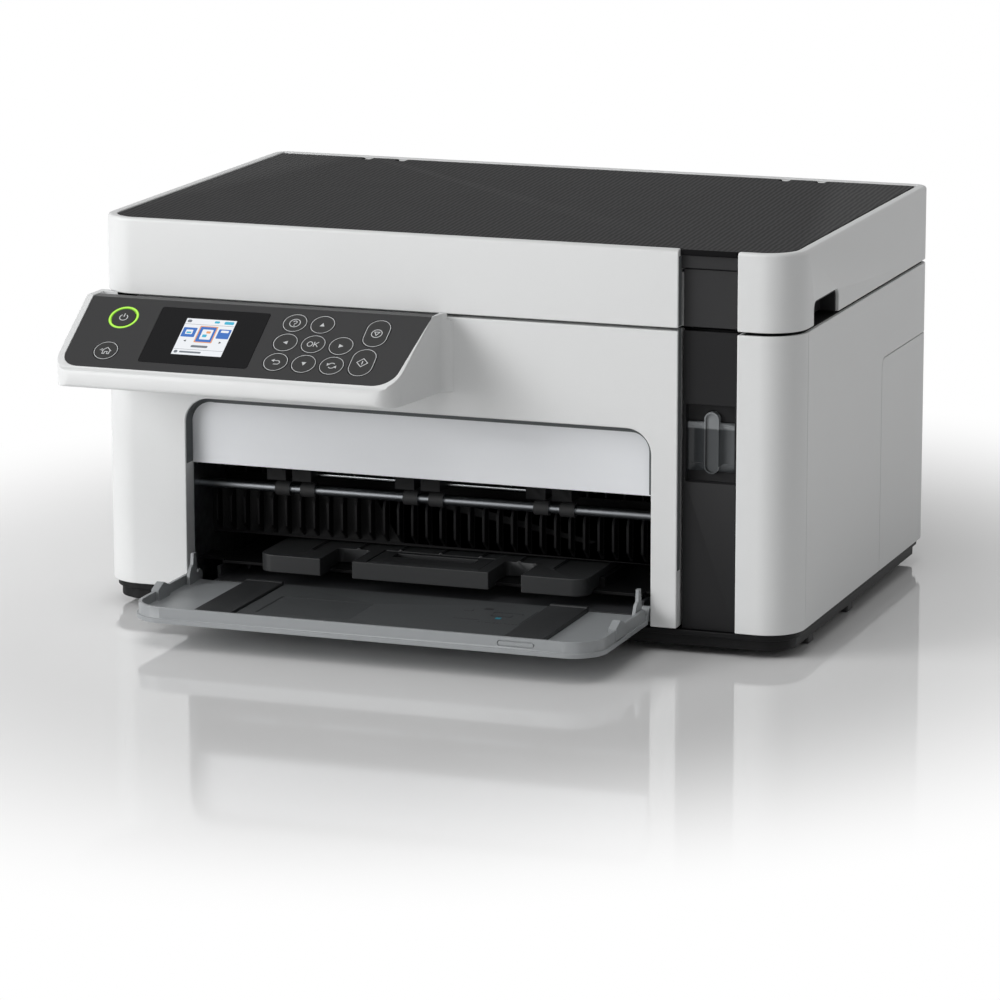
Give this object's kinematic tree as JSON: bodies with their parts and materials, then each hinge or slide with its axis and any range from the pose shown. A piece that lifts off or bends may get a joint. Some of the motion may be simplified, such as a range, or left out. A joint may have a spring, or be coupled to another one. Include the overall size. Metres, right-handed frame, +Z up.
{
  "type": "inkjet printer",
  "caption": "Flatbed inkjet printer with a lifting scanner, sloping control panel, side ink tank, fold-down front cover and paper trays.",
  "frame": {"origin": "middle of the whole outline on the desk, with the front cover open", "axes": "+X to the right as seen from the front, +Y to the rear, +Z up; the control panel and trays face -Y"},
  "size_m": [0.375, 0.3287, 0.2045],
  "materials": {
    "plinth_plastic": "fine moulded texture",
    "foot_rubber": "matt",
    "white_plastic": "fine moulded texture",
    "pale_grey_plastic": "smooth satin moulding",
    "inner_plastic": "matt moulding",
    "black_plastic": "satin moulding",
    "tank_plastic": "translucent blow moulding",
    "cap_rubber": "matt",
    "panel_plastic": "satin moulding",
    "window_plastic": "polished, tinted",
    "display_module": "lit display on a green board",
    "light_guide": "frosted",
    "button_plastic": "satin moulding",
    "grey_plastic": "fine moulded texture",
    "insert_plastic": "fine moulded texture",
    "frame_steel": "zinc plated sheet",
    "spring_steel": "bright stamped sheet",
    "roller_rubber": "ground rubber on a bright steel shaft",
    "gear_plastic": "natural acetal",
    "motor_steel": "plated can",
    "pinion_brass": "machined",
    "belt_rubber": "moulded",
    "pulley_steel": "machined",
    "scan_glass": "polished float glass",
    "cover_plastic": "fine diagonal emboss",
    "pad_foam": "smooth white film on foam",
    "supply_plastic": "matt moulding",
    "board_laminate": "lacquered laminate",
    "screw_steel": "zinc plated"
  },
  "bodies": {
    "body": {"base_pan": "plinth_plastic", "feet": "foot_rubber", "front_frame": "white_plastic", "recess_panel": "pale_grey_plastic", "right_corner_cover": "white_plastic", "right_side_cover": "white_plastic", "right_rear_cover": "white_plastic", "left_side_cover": "white_plastic", "rear_cover": "white_plastic", "upper_frame": "inner_plastic", "column_cover": "black_plastic", "ink_tank": "tank_plastic", "tank_cap": "cap_rubber", "panel_housing": "white_plastic", "panel_face": "panel_plastic", "screen_window": "window_plastic", "display": "display_module", "power_ring": "light_guide", "paper_tray": "grey_plastic", "chassis": "frame_steel", "star_wheel_frame": "black_plastic", "drive_motors": "motor_steel", "platen": "black_plastic", "paper_guide": "black_plastic", "timing_belt": "belt_rubber", "power_supply": "supply_plastic", "main_board": "board_laminate", "screws": "screw_steel"},
    "front_cover": {"front_cover": "grey_plastic", "cover_inserts": "insert_plastic"},
    "edge_guide_left": {"edge_guide_left": "insert_plastic"},
    "edge_guide_right": {"edge_guide_right": "insert_plastic"},
    "output_tray": {"output_tray": "insert_plastic"},
    "tray_stopper": {"tray_stopper": "black_plastic"},
    "star_wheels": {"star_wheels": "spring_steel"},
    "output_roller": {"output_roller": "roller_rubber"},
    "feed_roller": {"feed_roller": "roller_rubber"},
    "idler_gear": {"idler_gear": "gear_plastic"},
    "motor_pinion": {"motor_pinion": "pinion_brass"},
    "carriage": {"carriage": "black_plastic"},
    "motor_pulley": {"motor_pulley": "pulley_steel"},
    "idler_pulley": {"idler_pulley": "gear_plastic"},
    "scanner": {"scanner_housing": "white_plastic", "scanner_glass": "scan_glass", "lid_inserts": "black_plastic"},
    "scan_head": {"scan_head": "black_plastic"},
    "document_cover": {"document_cover": "cover_plastic", "cover_pad": "pad_foam"},
    "button_power": {"button_power": "button_plastic"},
    "button_home": {"button_home": "button_plastic"},
    "button_help": {"button_help": "button_plastic"},
    "button_up": {"button_up": "button_plastic"},
    "button_left": {"button_left": "button_plastic"},
    "button_ok": {"button_ok": "button_plastic"},
    "button_right": {"button_right": "button_plastic"},
    "button_back": {"button_back": "button_plastic"},
    "button_down": {"button_down": "button_plastic"},
    "button_cycle": {"button_cycle": "button_plastic"},
    "button_stop": {"button_stop": "button_plastic"},
    "button_start": {"button_start": "button_plastic"}
  },
  "joints": [
    {"name": "press_power", "type": "slide", "parent": "body", "child": "button_power", "axis": [0, 0.5534, -0.8329], "range_m": [0, 0.0006], "stiffness_N_per_m": 1200, "springref_m": -0.0005},
    {"name": "press_home", "type": "slide", "parent": "body", "child": "button_home", "axis": [0, 0.5534, -0.8329], "range_m": [0, 0.0006], "stiffness_N_per_m": 1200, "springref_m": -0.0005},
    {"name": "press_help", "type": "slide", "parent": "body", "child": "button_help", "axis": [0, 0.5534, -0.8329], "range_m": [0, 0.0006], "stiffness_N_per_m": 1200, "springref_m": -0.0005},
    {"name": "press_up", "type": "slide", "parent": "body", "child": "button_up", "axis": [0, 0.5534, -0.8329], "range_m": [0, 0.0006], "stiffness_N_per_m": 1200, "springref_m": -0.0005},
    {"name": "press_left", "type": "slide", "parent": "body", "child": "button_left", "axis": [0, 0.5534, -0.8329], "range_m": [0, 0.0006], "stiffness_N_per_m": 1200, "springref_m": -0.0005},
    {"name": "press_ok", "type": "slide", "parent": "body", "child": "button_ok", "axis": [0, 0.5534, -0.8329], "range_m": [0, 0.0006], "stiffness_N_per_m": 1200, "springref_m": -0.0005},
    {"name": "press_right", "type": "slide", "parent": "body", "child": "button_right", "axis": [0, 0.5534, -0.8329], "range_m": [0, 0.0006], "stiffness_N_per_m": 1200, "springref_m": -0.0005},
    {"name": "press_back", "type": "slide", "parent": "body", "child": "button_back", "axis": [0, 0.5534, -0.8329], "range_m": [0, 0.0006], "stiffness_N_per_m": 1200, "springref_m": -0.0005},
    {"name": "press_down", "type": "slide", "parent": "body", "child": "button_down", "axis": [0, 0.5534, -0.8329], "range_m": [0, 0.0006], "stiffness_N_per_m": 1200, "springref_m": -0.0005},
    {"name": "press_cycle", "type": "slide", "parent": "body", "child": "button_cycle", "axis": [0, 0.5534, -0.8329], "range_m": [0, 0.0006], "stiffness_N_per_m": 1200, "springref_m": -0.0005},
    {"name": "press_stop", "type": "slide", "parent": "body", "child": "button_stop", "axis": [0, 0.5534, -0.8329], "range_m": [0, 0.0006], "stiffness_N_per_m": 1200, "springref_m": -0.0005},
    {"name": "press_start", "type": "slide", "parent": "body", "child": "button_start", "axis": [0, 0.5534, -0.8329], "range_m": [0, 0.0006], "stiffness_N_per_m": 1200, "springref_m": -0.0005},
    {"name": "front_cover_hinge", "type": "hinge", "parent": "body", "child": "front_cover", "pos_m": [0, -0.07985, 0.018], "axis": [1, 0, 0], "range_deg": [-90, 0]},
    {"name": "output_tray_slide", "type": "slide", "parent": "body", "child": "output_tray", "axis": [0, -1, 0], "range_m": [0, 0.12]},
    {"name": "tray_stopper_hinge", "type": "hinge", "parent": "output_tray", "child": "tray_stopper", "pos_m": [0, -0.07235, 0.0302], "axis": [1, 0, 0], "range_deg": [0, 90]},
    {"name": "edge_guide_right_slide", "type": "slide", "parent": "body", "child": "edge_guide_right", "axis": [-1, 0, 0], "range_m": [0, 0.052]},
    {"name": "edge_guide_left_slide", "type": "slide", "parent": "body", "child": "edge_guide_left", "axis": [1, 0, 0], "range_m": [0, 0.052]},
    {"name": "feed_roller_turn", "type": "hinge", "parent": "body", "child": "feed_roller", "pos_m": [0, 0.03765, 0.0624], "axis": [1, 0, 0], "continuous": true},
    {"name": "output_roller_turn", "type": "hinge", "parent": "body", "child": "output_roller", "pos_m": [0, -0.05435, 0.0624], "axis": [1, 0, 0], "continuous": true},
    {"name": "idler_gear_turn", "type": "hinge", "parent": "body", "child": "idler_gear", "pos_m": [-0.149, -0.00835, 0.0624], "axis": [1, 0, 0], "continuous": true},
    {"name": "motor_pinion_turn", "type": "hinge", "parent": "body", "child": "motor_pinion", "pos_m": [-0.149, 0.05887, 0.07465], "axis": [1, 0, 0], "continuous": true},
    {"name": "star_wheels_turn", "type": "hinge", "parent": "body", "child": "star_wheels", "pos_m": [0, -0.05435, 0.071], "axis": [1, 0, 0], "continuous": true},
    {"name": "carriage_slide", "type": "slide", "parent": "body", "child": "carriage", "axis": [-1, 0, 0], "range_m": [0, 0.23]},
    {"name": "motor_pulley_turn", "type": "hinge", "parent": "body", "child": "motor_pulley", "pos_m": [-0.16, 0.03465, 0.101], "axis": [0, 1, 0], "continuous": true},
    {"name": "idler_pulley_turn", "type": "hinge", "parent": "body", "child": "idler_pulley", "pos_m": [0.164, 0.03465, 0.101], "axis": [0, 1, 0], "continuous": true},
    {"name": "scanner_hinge", "type": "hinge", "parent": "body", "child": "scanner", "pos_m": [0, 0.16115, 0.1643], "axis": [-1, 0, 0], "range_deg": [0, 50]},
    {"name": "scan_head_slide", "type": "slide", "parent": "scanner", "child": "scan_head", "axis": [1, 0, 0], "range_m": [0, 0.3]},
    {"name": "document_cover_hinge", "type": "hinge", "parent": "scanner", "child": "document_cover", "pos_m": [0, 0.15315, 0.2013], "axis": [-1, 0, 0], "range_deg": [0, 80]}
  ],
  "couplings": [
    {"joint": "edge_guide_left_slide", "follows": "edge_guide_right_slide", "ratio": 1},
    {"joint": "output_roller_turn", "follows": "feed_roller_turn", "ratio": 1},
    {"joint": "idler_gear_turn", "follows": "feed_roller_turn", "ratio": -0.61403},
    {"joint": "motor_pinion_turn", "follows": "feed_roller_turn", "ratio": -2.5},
    {"joint": "star_wheels_turn", "follows": "feed_roller_turn", "ratio": -0.84444},
    {"joint": "motor_pulley_turn", "follows": "carriage_slide", "rad_per_m": 153.85},
    {"joint": "idler_pulley_turn", "follows": "carriage_slide", "rad_per_m": 153.85}
  ]
}
